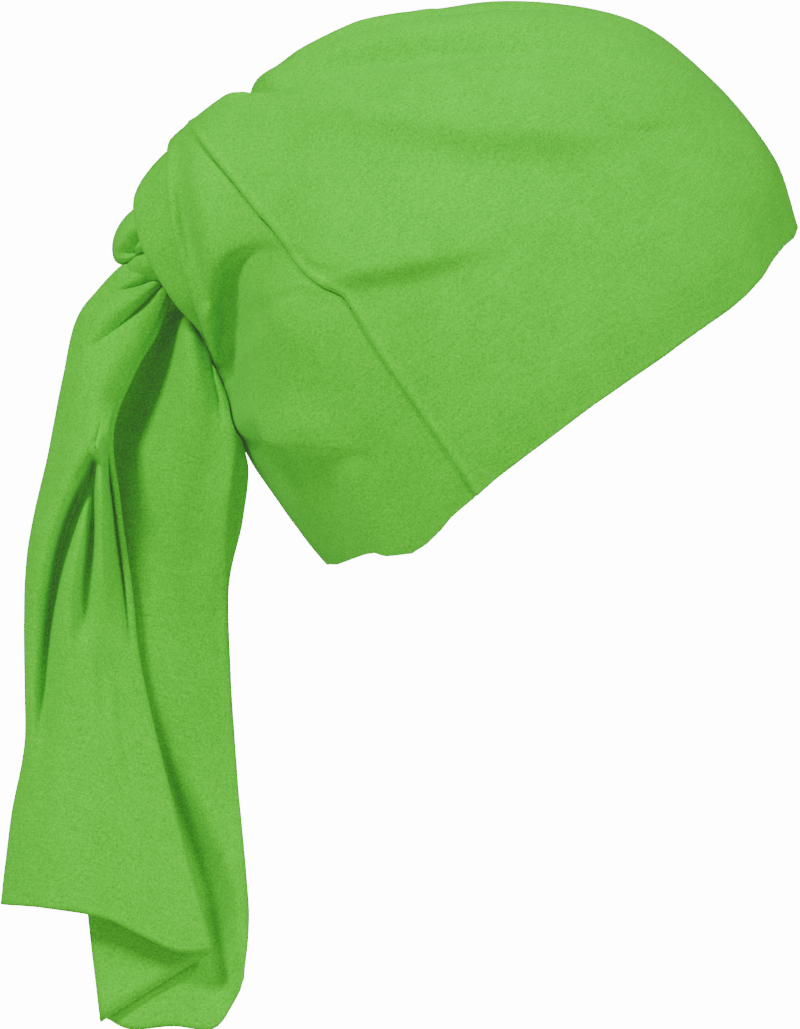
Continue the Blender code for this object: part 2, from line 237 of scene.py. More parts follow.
class MeshData:
    """Collects corners and faces with their places on the cloth, and makes a mesh of them."""

    def __init__(self) -> None:
        """Starts with nothing."""
        self.points: list[np.ndarray] = []
        self.faces: list[list[int]] = []
        self.places: list[np.ndarray] = []
        self.count = 0

    def add_points(self, points: np.ndarray) -> int:
        """Adds points and returns the index of the first."""
        first = self.count
        self.points.append(points.reshape(-1, 3))
        self.count += len(self.points[-1])
        return first

    def add_grid(self, grid: np.ndarray, outward: bool, joined: bool = False) -> int:
        """Adds rings of points and the faces between them.

        Args:
            grid: Rings of points.
            outward: Whether the faces keep the rings' own direction.
            joined: Whether the last ring meets the first.

        Returns:
            The index of the first point.
        """
        rows, around = grid.shape[:2]
        first = self.add_points(grid)
        far, down = cloth_lengths(grid)
        row, place = np.meshgrid(np.arange(rows if joined else rows - 1), np.arange(around))
        row, place = row.T.ravel(), place.T.ravel()
        after = (row + 1) % rows
        corners = [(row, place), (row, place + 1), (after, place + 1), (after, place)]
        if not outward:
            corners = corners[::-1]
        index = np.stack([first + r * around + p % around for r, p in corners], axis=1)
        place_uv = [np.stack([far[r, p], down[r, p]], axis=1) for r, p in corners]
        self.faces += index.tolist()
        self.places.append(np.stack(place_uv, axis=1).reshape(-1, 2))
        return first

    def add_cap(self, first: int, ring: np.ndarray, outward: bool) -> None:
        """Closes a ring, given its first point's index and its points, with a fan about its middle."""
        count = len(ring)
        middle = self.add_points(ring.mean(axis=0))
        flat = (ring - ring.mean(axis=0))[:, [0, 2]]
        order = 1 if outward else -1
        for place in range(count):
            after = (place + 1) % count
            self.faces.append([first + place, first + after, middle][::order])
            self.places.append(np.stack([flat[place], flat[after], np.zeros(2)])[::order])

    def add_edge(self, outer: int, inner: int, ring: np.ndarray, halved: int) -> None:
        """Joins the outer wall's first ring to the inner wall's, which has fewer points.

        Args:
            outer: The index of the outer ring's first point.
            inner: The index of the inner ring's first point.
            ring: The outer ring's points.
            halved: How many points the inner ring has.
        """
        count = len(ring)
        far = cloth_lengths(ring[None, :, :])[0][0]
        for place in range(halved):
            a, b, c = 2 * place, 2 * place + 1, (2 * place + 2) % count
            d, e = inner + place, inner + (place + 1) % halved
            u0, u1, u2 = far[a], far[b], far[min(2 * place + 2, count)]
            for corners, uv in (
                ((outer + b, outer + a, d), ((u1, 0), (u0, 0), (u0, -MM))),
                ((outer + b, d, e), ((u1, 0), (u0, -MM), (u2, -MM))),
                ((outer + c, outer + b, e), ((u2, 0), (u1, 0), (u2, -MM))),
            ):
                self.faces.append(list(corners))
                self.places.append(np.array(uv))

    def mesh(self, name: str) -> bpy.types.Mesh:
        """Makes the mesh, with its knitted pattern's places in a UV map."""
        made = bpy.data.meshes.new(name)
        made.from_pydata(np.concatenate(self.points).tolist(), [], self.faces)
        layer = made.uv_layers.new(name="cloth")
        layer.data.foreach_set("uv", np.concatenate(self.places).astype(np.float32).ravel())
        made.shade_smooth()
        return made


def kept_clear(grid: np.ndarray, neighbour: np.ndarray, gap: float) -> np.ndarray:
    """Moves cloth out of a neighbour that it would pass through.

    Args:
        grid: Rings of points on the cloth's middle.
        neighbour: Rings of points on the middle of the cloth that it keeps clear of.
        gap: The least distance between the two middles.

    Returns:
        The rings, with the points that came too near moved out.
    """
    outward = smoothed(raw_normals(neighbour), NORMAL_PASSES).reshape(-1, 3)
    outward /= np.linalg.norm(outward, axis=1, keepdims=True)
    place = np.arange(len(outward)).reshape(neighbour.shape[:2])
    ahead = np.roll(place, -1, axis=1)
    faces = np.stack([place[:-1], ahead[:-1], ahead[1:], place[1:]], axis=-1).reshape(-1, 4)
    surface = BVHTree.FromPolygons(neighbour.reshape(-1, 3).tolist(), faces.tolist())
    moved = grid.reshape(-1, 3).copy()
    for index, point in enumerate(moved):
        nearest, _, face, _ = surface.find_nearest(point, CLEAR_REACH)
        if nearest is None:
            continue
        normal = outward[faces[face][0]]
        if (point - np.array(nearest)) @ normal < gap:
            moved[index] = np.array(nearest) + normal * gap
    return moved.reshape(grid.shape)


def shell_mesh(name: str, middle: np.ndarray, wall: float) -> bpy.types.Mesh:
    """Gives an open tube of cloth its thickness and closes its far end.

    Args:
        name: The mesh's name.
        middle: Rings of points on the cloth's middle, from the free edge to the closed end.
        wall: The cloth's thickness.

    Returns:
        The closed mesh, whose hidden inner wall has half as many points each way.
    """
    middle = facing_out(middle)
    normals = smoothed(raw_normals(middle), NORMAL_PASSES)
    normals /= np.linalg.norm(normals, axis=2, keepdims=True)
    outer = middle + normals * wall / 2
    rows = np.unique(np.append(np.arange(0, len(middle), 2), len(middle) - 1))
    inner = (middle - normals * wall / 2)[rows][:, ::2]
    data = MeshData()
    first_outer = data.add_grid(outer, outward=True)
    first_inner = data.add_grid(inner, outward=False)
    data.add_edge(first_outer, first_inner, outer[0], inner.shape[1])
    around = outer.shape[1]
    data.add_cap(first_outer + (len(outer) - 1) * around, outer[-1], outward=True)
    around = inner.shape[1]
    data.add_cap(first_inner + (len(inner) - 1) * around, inner[-1], outward=False)
    return data.mesh(name)


# Shader nodes


class Value:
    """A number that varies over a surface, on which arithmetic adds Math nodes."""

    def __init__(self, tree: "NodeTree", socket: bpy.types.NodeSocket) -> None:
        """Wraps a socket of a node tree."""
        self.tree = tree
        self.socket = socket

    def _math(self, operation: str, *values: "Value | float") -> "Value":
        """Adds a Math node."""
        return self.tree.node("ShaderNodeMath", {"operation": operation}, list(values))

    def __add__(self, other: "Value | float") -> "Value":
        """Adds."""
        return self._math("ADD", self, other)

    def __sub__(self, other: "Value | float") -> "Value":
        """Subtracts."""
        return self._math("SUBTRACT", self, other)

    def __mul__(self, other: "Value | float") -> "Value":
        """Multiplies."""
        return self._math("MULTIPLY", self, other)

    def sine(self) -> "Value":
        """Gives the sine."""
        return self._math("SINE", self)


class NodeTree:
    """Builds the nodes of a material, of the world or of a geometry group."""

    def __init__(self, tree: bpy.types.NodeTree) -> None:
        """Clears the tree and keeps it."""
        self.tree = tree
        self.tree.nodes.clear()

    def node(
        self,
        kind: str,
        settings: dict[str, Any] | None = None,
        values: list[Any] | dict[str, Any] | None = None,
        output: str | int = 0,
    ) -> Value:
        """Adds a node.

        Args:
            kind: The node's type.
            settings: Its properties, which are set first.
            values: Numbers, colours or links for its sockets, in order or by name.
            output: The output that is handed back.

        Returns:
            One of its outputs.
        """
        made = self.tree.nodes.new(kind)
        for name, value in (settings or {}).items():
            setattr(made, name, value)
        pairs = enumerate(values) if isinstance(values, list) else (values or {}).items()
        for key, value in pairs:
            socket = made.inputs[key]
            if isinstance(value, Value):
                self.tree.links.new(value.socket, socket)
            else:
                socket.default_value = value
        return Value(self, made.outputs[output])

    def noise(self, place: Value, scale: float, detail: float, roughness: float) -> Value:
        """Adds a noise texture."""
        values = {"Vector": place, "Scale": scale, "Detail": detail, "Roughness": roughness}
        return self.node("ShaderNodeTexNoise", values=values)

    def end(self, result: Value, kind: str = "ShaderNodeOutputMaterial") -> None:
        """Ends the tree in an output node."""
        self.tree.links.new(result.socket, self.tree.nodes.new(kind).inputs[0])


@dataclass(frozen=True)
class KnitFinish:
    """Fine heathered jersey: matte, with courses round the tube and wales along it, and a faint painted
    glow that lifts its shade.
    """

    shade: tuple[float, float, float, float] = (0.036, 0.400, 0.000, 1.0)
    light: tuple[float, float, float, float] = (0.080, 0.740, 0.000, 1.0)
    course: float = 0.00105  # between rows of stitches, in metres
    wale: float = 0.00085  # between columns of stitches
    wobble: float = 0.0012  # how far rows and columns wander
    heather: float = 1500.0  # flecks per metre
    clouds: float = 60.0  # large soft patches per metre
    streaks: tuple[float, float, float] = (140.0, 900.0, 1.0)  # per metre round and along the tube
    fleck_share: float = 2.0
    streak_share: float = 0.5
    cloud_share: float = 0.4
    knit_share: float = 0.08
    darkening: float = 0.99
    relief: float = 0.00012
    bump: float = 0.35
    roughness: float = 0.88
    sheen: float = 0.02
    # Painted glow: a faint constant emission that lifts the colour of the cloth's shaded folds and
    # hollows; it stands in for light and is no lamp
    painted_glow: tuple[float, float, float, float] = (0.028, 0.012, 0.024, 1.0)

    def material(self) -> bpy.types.Material:
        """Builds the knitted cloth's material."""
        material = bpy.data.materials.new(SLOT)
        material.use_nodes = True
        tree = NodeTree(material.node_tree)
        place = tree.node("ShaderNodeTexCoord", output="Object")
        cloth = tree.node("ShaderNodeUVMap", {"uv_map": "cloth"})
        around = tree.node("ShaderNodeSeparateXYZ", values=[cloth])
        along = Value(tree, around.socket.node.outputs["Y"])
        fleck = tree.noise(place, self.heather, 2.0, 0.6)
        cloud = tree.noise(place, self.clouds, 3.0, 0.5)
        stretched = tree.node("ShaderNodeMapping", values={"Vector": cloth, "Scale": self.streaks})
        streak = tree.noise(stretched, 1.0, 2.0, 0.5)
        wobble = cloud * self.wobble
        course = self.stripe(along + wobble, self.course)
        wale = self.stripe(around + wobble, self.wale)
        knit = course * 0.6 + wale * 0.4
        mixed = fleck * self.fleck_share + streak * self.streak_share + cloud * self.cloud_share
        mixed = mixed + knit * self.knit_share - self.darkening
        colour = tree.node(
            "ShaderNodeMix",
            {"data_type": "RGBA", "clamp_factor": True},
            {0: mixed, 6: self.shade, 7: self.light},
            output=2,
        )
        height = knit * 0.5 + fleck * 0.9
        bump = tree.node(
            "ShaderNodeBump",
            values={"Strength": self.bump, "Distance": self.relief, "Height": height},
        )
        shader = tree.node(
            "ShaderNodeBsdfPrincipled",
            values={
                "Base Color": colour,
                "Roughness": self.roughness,
                "Specular IOR Level": 0.02,
                "Sheen Weight": self.sheen,
                "Sheen Roughness": 0.6,
                # The emission is a painted glow that brightens the shade in the folds, not light from a
                # lamp
                "Emission Color": self.painted_glow,
                "Emission Strength": 1.0,
                "Normal": bump,
            },
        )
        tree.end(shader)
        return material

    def stripe(self, along: Value, length: float) -> Value:
        """Makes rows of stitches, 0 between them and 1 on them."""
        return (along * (2 * math.pi / length)).sine() * 0.5 + 0.5


# The crown


@dataclass
class Crown:
    """The part of the tube that is stretched over the head."""

    breadth: float = 0.158
    wall: float = 0.0010
    near_columns: int = 230
    far_columns: int = 96
    crease_columns: int = 14
    crease_band: float = 0.0042  # on each side of the crease, where columns stand close
    crease_most: float = 0.06  # the same as a share of the ring's right side, at most
    crease_span: tuple[float, float] = (0.07, 0.88)  # shares of the right side that it stays within
    crease_margin: int = 20  # places at each end of the right side where it isn't looked for
    fine_places: int = 600
    lean_top: float = 0.7
    egg: tuple[float, float] = (-0.10, 0.40)  # a ring's widening to its top, when broad and narrow
    egg_breadths: tuple[float, float] = (0.75, 0.40)  # what broad and narrow are
    fold_passes: int = 3
    fold_fade: float = 0.12  # shares of the breadth over which folds start at the top line
    crease_fade: float = 0.02
    groove: tuple[float, float, float] = (-1.3, 0.7, 1.4)  # the crease's height, width and reach
    ridge: tuple[float, float, float] = (0.9, 0.8, 1.8)
    ridge_offset: tuple[float, float] = (1.0, 0.8)  # millimetres
    sections: tuple[tuple[float, ...], ...] = (
        # The back's X and Z, the top's X and Z, breadth, share of the hang, lean, and steps that follow
        (-0.357, -0.3, 0.354, 0.299, 0.95, 1, 0, 18),
        (-0.367, -0.287, 0.316, 0.427, 0.99, 0.8, 0, 18),
        (-0.384, -0.263, 0.218, 0.568, 1, 0.4, 0, 18),
        (-0.4, -0.238, 0.096, 0.67, 0.99, 0.1, 0, 22),
        (-0.42, -0.206, -0.089, 0.701, 0.95, 0, 0, 22),
        (-0.441, -0.171, -0.255, 0.665, 0.88, 0, 0.004, 20),
        (-0.464, -0.132, -0.4, 0.6, 0.75, 0, 0.012, 18),
        (-0.48, -0.099, -0.512, 0.524, 0.56, 0, 0.022, 12),
        (-0.497, -0.056, -0.593, 0.455, 0.43, 0, 0.026, 10),
        (-0.512, -0.005, -0.574, 0.43, 0.3, 0, 0.02, 10),
        (-0.52, 0.07, -0.51, 0.35, 0.12, 0, 0.008, 10),
    )
    rim: tuple[tuple[float, float, float], ...] = (
        # Share of the way from the top to the back, and how far the right and the left side hang
        (0, 0, 0), (0.02, 0.0095, 0.005), (0.045, 0.011, 0.007), (0.077, 0.0188, 0.015),
        (0.11, 0.031, 0.027), (0.15, 0.038, 0.034), (0.19, 0.041, 0.037), (0.33, 0.0405, 0.037),
        (0.475, 0.0385, 0.035), (0.61, 0.041, 0.037), (0.68, 0.043, 0.039), (0.745, 0.048, 0.044),
        (0.78, 0.051, 0.047), (0.805, 0.057, 0.053), (0.84, 0.062, 0.058), (0.868, 0.0605, 0.056),
        (0.899, 0.041, 0.033), (0.912, 0.0275, 0.019), (0.93, 0.0215, 0.013),
        (0.965, 0.0145, 0.007), (0.986, 0.009, 0.001), (1, 0, 0),
    )
    crease: Path = (
        (-129.1, 92.7), (-126.1, 89.3), (-120.7, 82.3), (-111.3, 70.9), (-102.3, 59.5), (-96.6, 53.1),
        (-88.2, 41.4), (-84.5, 37.7), (-80.2, 34.7), (-74.2, 31.7), (-70.8, 27.3), (-62.8, 13.6),
        (-54.7, 1.8), (-44, -13.6), (-31.6, -32), (-24.6, -42.4),
    )
    over_folds: tuple[Fold, ...] = (
        Fold(((-106.3, 101), (-101, 99.7), (-90.9, 97.7)), (-4.6, -3.4, 0), (3.4,)),
    )
    right_folds: tuple[Fold, ...] = (
        # The pleat whose edge runs forward from the knot's top
        Fold(((-41.4, 90.3), (-81.9, 96.3), (-105.3, 99.4), (-116.7, 97.4)), (0.4, 3, 4.6, 3), (1.5,),
            STEP, 8),
        # The soft valley below the brightest part of the top
        Fold(((-78.2, 95), (-54.7, 89.6), (-28, 85), (-1.2, 84.6), (14.2, 86.3)), (1.2, 4, 6, 7, 1.5),
            (9,), LIP, 2.6),
        # Fine long pleats near the top
        Fold(((-49.7, 121.1), (-38, 124.5), (-26.6, 126.5), (-11.2, 127.8), (5.5, 126.8), (25.6, 121.8)),
            (-1, -3.4, -3.4, -2.4, 0), (1.4,), SHARP),
        Fold(((-101, 100.4), (-88.2, 106.4), (-59.4, 114.1), (-31, 118.5), (0.2, 119.1), (22.3, 115.8)),
            (2.4, 4.4, 4.6, 3.6, 0.6), (4.5,), LIP, 1.8),
        Fold(((-91.6, 104.4), (-71.5, 107.7), (-41.4, 110.4), (-14.6, 111.8)), (-1.4, -2.6, -1.2), (3.5,)),
        Fold(((-88.2, 111.1), (-68.1, 118.5), (-44.7, 123.5)), (1.8, 3.2, 1.6), (2.5,), LIP, 2),
        Fold(((-51.4, 112.4), (-38, 113.8), (-14.6, 113.8), (12.2, 113.1), (29, 111.1)),
            (0, 1.4, 1.8, 1.4, 0), (1.8,), LIP, 1.6),
        Fold(((-44.7, 105.1), (-21.3, 107.7), (2.2, 107.1), (25.6, 104.4)), (0, 1.2, 1.2, 0), (2.2,)),
        Fold(((-36.3, 101.7), (-14.6, 103.7), (12.2, 101.7)), (0, -1.2, 0), (2.4,)),
        # The fold that runs forward from the kink of the crease
        Fold(((-81.5, 36), (-72.8, 38.7), (-62.8, 40.4), (-46.4, 43.7), (-17.9, 50.1)), (1, 5, 5.4, 3, 0),
            (6,), LIP, 3),
        # The dent under the kink
        Fold(((-81.5, 35.4), (-88.2, 32.7), (-92.9, 27.3), (-98.3, 18.6), (-106.3, 9.9)),
            (0.6, 2.8, 3.6, 2.6, 0.6), (4,), LIP, 4),
        # Folds above the nape
        Fold(((-106.3, -11.6), (-99.6, -12.9), (-88.2, -14.2), (-73.2, -16.3), (-61.4, -17.3)),
            (1.5, 6.5, 4.4, 1.6, 0), (2.4, 4), LIP, 3.5),
        Fold(((-101, -13.6), (-96.6, -22.3), (-88.2, -35)), (-3, -3, 0), (5,)),
        Fold(((-79.2, -14.6), (-70.8, -28.3), (-58.4, -51.1)), (1, 2.4, 2.4), (6.5,)),
    )
    deep_folds: tuple[Fold, ...] = (
        # The valley along the band
        Fold(((-128.4, 82.3), (-127.4, 68.9), (-125.4, 55.5), (-122.1, 42.1), (-119, 31.3)),
            (-1.5, -5, -7, -6.5, -3), (3.2,)),
        # The full face beside the band and the deep pleat below it
        Fold(((-125.1, 82.3), (-121, 65.5), (-119.7, 50.4), (-120, 35.4), (-118.4, 20.3)),
            (0.5, 2.4, 4.2, 4.6, 3), (9, 9, 7, 4)),
        Fold(((-86.6, 44.1), (-93.3, 46.4), (-101, 46.4), (-107.3, 43.4), (-111, 38), (-113, 25.3),
            (-114.4, 6.5)), (-0.8, -3, -7, -11, -14, -14, -9), (3, 4, 4.5, 4.5, 4), LIP, 3.2),
    )
    left_folds: tuple[Fold, ...] = (
        Fold(((-123.7, 85.6), (-79.5, 88.3), (-39.7, 77.6)), (3, 2, 0.3), (5,), LIP, 3),
        Fold(((-97.3, 62.2), (-55.4, 63.8), (-11.2, 63.8)), (-2.5, -1.6, -0.4), (6,)),
        Fold(((-104, 37.7), (-72.8, 35.4), (-35.3, 28.3)), (-4.5, -3, -0.6), (5,)),
        Fold(((-104, 11.2), (-83.9, 1.8), (-57.4, -18.9)), (-3.5, -2, -0.6), (5,)),
    )

    def columns(self, ring: np.ndarray, right_angles: np.ndarray) -> np.ndarray:
        """Spaces the columns round one ring, close together where the crease crosses it.

        Args:
            ring: X and Z of many places down the right side, from the top to the back.
            right_angles: The angle of each of those places.

        Returns:
            The angle of each column, from the top down the right side and up the left.
        """
        path = smooth_rows(np.array(self.crease) * MM, [PATH_STEPS] * (len(self.crease) - 1))
        away = distance_to_path(ring, path)[0].min(axis=0)
        nearest = int(np.argmin(away[self.crease_margin : -self.crease_margin])) + self.crease_margin
        lengths = np.concatenate([[0.0], np.cumsum(np.linalg.norm(np.diff(ring, axis=0), axis=1))])
        whole = lengths[-1]
        middle = np.clip(lengths[nearest], self.crease_span[0] * whole, self.crease_span[1] * whole)
        half = min(self.crease_band, self.crease_most * whole)
        above = self.near_columns // 2
        below = self.near_columns - above - self.crease_columns
        ends = (0, middle - half, middle + half, whole)
        counts = (above, self.crease_columns, below)
        places = [np.linspace(*run, endpoint=False) for run in zip(ends, ends[1:], counts)]
        places = np.concatenate(places)
        right = np.interp(places, lengths, right_angles)
        left = np.linspace(-math.pi, -2 * math.pi, self.far_columns, endpoint=False)
        return np.concatenate([right, left])

    def ring(self, row: np.ndarray, angles: np.ndarray) -> np.ndarray:
        """Works out one ring of the crown.

        Args:
            row: The values of one of the sections.
            angles: The angle of each place, from the top.

        Returns:
            The ring's points.
        """
        back_x, back_z, top_x, top_z, breadth, share, lean = row[:7]
        toward_top, toward_left = np.cos(angles), np.sin(angles)
        rim = np.array(self.rim)
        along = (1 - toward_top) / 2
        right = np.interp(along, rim[:, 0], rim[:, 1])
        left = np.interp(along, rim[:, 0], rim[:, 2])
        hang = np.where(toward_left < 0, right, left)
        back = np.array([back_x * LENGTH, back_z * HEIGHT])
        top = np.array([top_x * LENGTH, top_z * HEIGHT])
        chord = top - back
        across = np.array([chord[1], -chord[0]]) / np.linalg.norm(chord)
        side = back + chord * (1 - along)[:, None]
        leaning = lean * toward_left**2 * (1 + toward_top) * self.lean_top
        side = side + across * ((hang * share - leaning) * LENGTH)[:, None]
        egg = np.interp(breadth, self.egg_breadths[::-1], self.egg[::-1])
        wide = toward_left * (1 + egg * toward_top) * breadth * self.breadth / 2
        return np.stack([side[:, 0], wide, side[:, 1]], axis=1)

    def grid(self) -> np.ndarray:
        """Works out the middle of the crown's cloth, with its folds.

        Returns:
            Rings of points from the rim to the closed end behind the band.
        """
        rows = smooth_rows(np.array(self.sections), [int(section[-1]) for section in self.sections])
        fine = np.linspace(0, -math.pi, self.fine_places)
        rings = []
        for row in rows:
            right = self.ring(row, fine)
            rings.append(self.ring(row, self.columns(right[:, [0, 2]], fine)))
        grid = facing_out(np.array(rings))
        normals = smoothed(raw_normals(grid), self.fold_passes)
        side_view = grid[:, :, [0, 2]]
        out_left = grid[:, :, 1] / self.breadth
        rightward = np.clip(-out_left / self.fold_fade, 0, 1)
        leftward = np.clip(out_left / self.fold_fade, 0, 1)
        beside = tuple((x + self.ridge_offset[0], z + self.ridge_offset[1]) for x, z in self.crease)
        crease = [
            Fold(path, (height,), (width,), LIP, reach)
            for path, (height, width, reach) in ((beside, self.ridge), (self.crease, self.groove))
        ]
        rise = (
            total_rise(side_view, self.right_folds) * rightward
            + total_rise(side_view, crease) * np.clip(-out_left / self.crease_fade, 0, 1)
            + total_rise(side_view, self.left_folds) * leftward
            + total_rise(side_view, self.over_folds)
        )
        grid[:, :, 1] -= total_rise(side_view, self.deep_folds) * rightward
        return grid + normals * rise[:, :, None]

    def mesh(self) -> bpy.types.Mesh:
        """Makes the crown's closed mesh."""
        return shell_mesh("crown_cloth", self.grid(), self.wall)


# The tail


class TailSection(NamedTuple):
    """Where one ring of the tail turns: its left fold, its two pleat folds and its right fold."""

    left_x: float
    left_z: float
    front_x: float
    front_z: float
    inner_x: float
    inner_z: float
    right_x: float
    right_z: float
    depth: float
    pleat: float
    roll: float
    press: float
    steps: int


class RingPoint(NamedTuple):
    """A place on the tail's ring, between two of its folds."""

    start: str
    end: str
    share: float
    depth: float
    roll: float
    sag: float
    turn: int
    steps: int


@dataclass
class Tail:
    """The free end of the tube, which hangs from the knot."""

    knot: tuple[float, float, float] = (-0.561 * LENGTH, 0.0, 0.160 * HEIGHT)
    width: float = 0.083
    drop: float = 0.242
    depth: float = 0.040
    turn: float = 0.0014
    pressed: float = -0.33
    wall: float = 0.0009
    clearance: float = 0.0017  # from the middle of its cloth to the middle of the crown's
    near_fade: int = 4  # places over which folds start at each end of the near panel
    roll_fade: int = 6  # the same for the roll on the right
    sections: tuple[TailSection, ...] = (
        TailSection(-0.143, 0.062, -0.078, 0.027, -0.05, 0.013, 0.051, -0.045, 0.6, 0.5, 0.3, 0, 14),
        TailSection(-0.262, 0.056, -0.103, 0.001, -0.135, 0.001, 0.105, -0.1, 0.8, 0.8, 0.85, 0, 14),
        TailSection(-0.387, 0.014, -0.145, -0.04, -0.23, -0.052, 0.172, -0.15, 0.95, 1, 0.95, 0, 14),
        TailSection(-0.46, -0.025, -0.233, -0.093, -0.318, -0.11, 0.198, -0.19, 1.05, 1, 0.9, 0, 16),
        TailSection(-0.506, -0.096, -0.32, -0.175, -0.42, -0.19, 0.222, -0.232, 1.05, 1, 0.7, 0.15, 20),
        TailSection(-0.57, -0.206, -0.294, -0.269, -0.44, -0.296, 0.195, -0.3, 1, 1, 0.35, 0.4, 22),
        TailSection(-0.654, -0.338, -0.248, -0.386, -0.44, -0.407, 0.142, -0.385, 0.95, 1, 0.15, 0.5, 20),
        TailSection(-0.668, -0.463, -0.213, -0.49, -0.43, -0.518, 0.148, -0.504, 0.9, 1, 0.08, 0.5, 20),
        TailSection(-0.668, -0.601, -0.136, -0.615, -0.42, -0.657, 0.176, -0.65, 0.9, 1, 0, 0.4, 18),
        TailSection(-0.724, -0.709, -0.038, -0.747, -0.42, -0.81, 0.22, -0.82, 0.95, 1, 0, 0.6, 18),
        TailSection(-0.768, -0.827, 0.075, -0.893, -0.36, -0.987, 0.205, -0.915, 1, 1, 0, 0.92, 18),
    )
    ring_points: tuple[RingPoint, ...] = tuple(
        RingPoint(start, end, *row)
        for start, end, *rows in (
            ("left", "front", (0, -0.05, 0, 0, 0, 18), (0.2, -0.42, 0, -0.009, 0, 26),
             (0.48, -0.5, 0, -0.015, 0, 18), (0.66, -0.49, 0, -0.003, 0, 16),
             (0.84, -0.43, 0, 0.009, 0, 14), (1, -0.36, 0, 0, -1, 6), (1, -0.36, 0, 0, 0, 6)),
            ("front", "inner", (0, -0.36, 0, 0, 1, 14), (0.5, -0.23, 0, 0, 0, 14),
             (1, -0.14, -0.1, 0, -1, 5), (1, -0.14, -0.1, 0, 0, 5)),
            ("inner", "right", (0, -0.14, -0.14, 0, 1, 14), (0.2, -0.08, -0.1, 0.027, 0, 18),
             (0.5, -0.04, 0.42, 0.044, 0, 18), (0.78, -0.02, 0.42, 0.068, 0, 10),
             (0.92, 0.01, 0.46, 0.044, 0, 8), (1, 0.05, 0.4, 0.01, 0, 12)),
            ("right", "left", (0.07, 0.16, 0.2, -0.006, 0, 10), (0.25, 0.42, 0, -0.02, 0, 18),
             (0.65, 0.46, 0, -0.045, 0, 18)),
        )
        for row in rows
    )
    near_folds: tuple[Fold, ...] = (
        # The rolled lobe on the left and the valley beside it
        Fold(((-178.6, -135.6), (-177.6, -107.1), (-176, -85.3), (-174, -66.9), (-170.3, -47.4),
            (-164.2, -31.3), (-157.9, -20.9), (-151.2, -12.6)), (0, 3, 6.5, 8.5, 9.5, 9.5, 8.5, 6),
            (3, 3, 2.4), LIP, 3),
        Fold(((-155.5, -21.6), (-160.6, -31), (-165.6, -42.4), (-169.3, -55.1), (-171.9, -71.9),
            (-174, -95.3), (-175.3, -115.4)), (-3, -7.5, -9, -9, -7.5, -5, 0), (3, 4.2, 5)),
        # Gathers that fan out below the lobe
        Fold(((-155.9, -18.9), (-158.6, -33.3), (-163.2, -48.4), (-167.9, -65.2), (-171.3, -81.9),
            (-173.3, -102)), (7, 7, 6.5, 5.5, 3.5, 0), (1.6, 3), STEP, 4),
        Fold(((-156.2, -22.3), (-156.5, -35), (-157.9, -50.1), (-159.9, -65.2), (-161.2, -85.3)),
            (-7, -9, -8, -6, 0), (1.5, 2.2, 3.2)),
        Fold(((-154.9, -18.9), (-154.5, -35), (-153.9, -51.8), (-152.5, -75.2)), (6, 6, 4, 0), (1.6, 2.8)),
        Fold(((-152.5, -16.9), (-151.5, -28.7), (-149.2, -39), (-146.5, -55.8), (-143.8, -73.9),
            (-141.8, -88.6)), (-4, -8, -8, -6.5, -4.5, 0), (1.4, 2, 3)),
        Fold(((-155.9, -68.5), (-153.2, -95.3), (-151.9, -122.1)), (0, -2.2, 0), (3.4,)),
        Fold(((-149.8, -81.9), (-147.8, -105.4), (-144.5, -132.2)), (0, -2.4, 0), (2.2,)),
        # The creases where the lobe leaves the knot
        Fold(((-131.1, 40), (-135.8, 35), (-140.1, 30.3), (-145.8, 25), (-151.2, 20.6), (-157.2, 15.9)),
            (-4.5, -5, -4.4, -3, -1.2), (1.8, 2, 3.2), SHARP),
        Fold(((-133.1, 42.1), (-136.1, 39.4), (-140.1, 37), (-147.8, 34.7), (-155.2, 32)),
            (-4.5, -5, -4, -2.8, -0.6), (1.6, 2), SHARP),
        Fold(((-134.4, 37.4), (-141.8, 32.7), (-151.2, 27.6), (-158.6, 22.6)), (2, 2.6, 2, 0), (2.8, 3.8)),
        Fold(((-135.1, 29.3), (-142.5, 16.9), (-151.2, 3.5), (-156.9, -9.9)), (2, 3, 2.4, 0.6), (5.5,)),
    )
    roll_folds: tuple[Fold, ...] = (
        Fold(((-123.1, 25.3), (-121, 11.9), (-119.7, -4.9), (-120.4, -28.3)), (2, 3, 3, 1), (6, 8)),
        Fold(((-119.4, 16.9), (-117, 6.9), (-115.4, -0.8), (-114, -9.9)), (-1, -3.4, -2.6, 0), (1.1,),
            SHARP),
        Fold(((-112.3, -60.2), (-111.3, -40), (-109.3, -25), (-108.3, -13.6)), (1, 5, 6, 3), (1.4,),
            STEP, 5),
        Fold(((-131.8, -55.1), (-129.8, -88.6), (-123.1, -128.9)), (0.5, 1, 0), (7,)),
        # The hollow behind the pleat's free edge
        Fold(((-138.5, -102), (-133.1, -125.5), (-125.1, -145.6), (-119, -162.4), (-116.4, -179.1),
            (-116.4, -195.9)), (0, -2, -5, -6.5, -6, -3), (4, 6)),
        Fold(((-128.4, -122.1), (-117.7, -142.3), (-109.7, -164), (-108.3, -185.8)), (0.6, 2, 3, 2), (5,)),
    )

